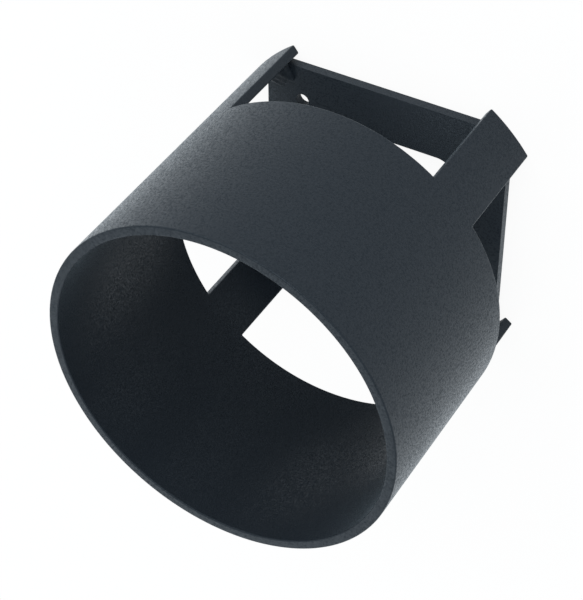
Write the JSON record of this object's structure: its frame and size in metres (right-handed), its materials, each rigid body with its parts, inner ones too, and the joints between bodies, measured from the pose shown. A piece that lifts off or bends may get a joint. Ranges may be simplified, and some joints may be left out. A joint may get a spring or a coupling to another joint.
{
  "type": "lamp snoot",
  "caption": "Short round tube that narrows a lamp's beam, with tabs at its back edge welded to the corners of a square mounting frame.",
  "frame": {"origin": "centre of the mounting face: the back of the frame and the ends of the tabs, on the tube's axis", "axes": "+Z along the tube's axis towards the mouth where the light leaves; X and Y square to the sides of the mounting frame, with the tabs on the diagonals"},
  "size_m": [0.11, 0.11, 0.099],
  "materials": {
    "tube_coating": "matt black powder coating with a fine grain over aluminium tube",
    "frame_coating": "matt black powder coating with a fine grain over aluminium plate",
    "weld_coating": "matt black powder coating over weld metal, a little rougher than on the sheet"
  },
  "bodies": {
    "root": {"snoot_tube": "tube_coating", "mounting_frame": "frame_coating", "corner_weld_1": "weld_coating", "corner_weld_2": "weld_coating", "corner_weld_3": "weld_coating", "corner_weld_4": "weld_coating"}
  },
  "joints": []
}
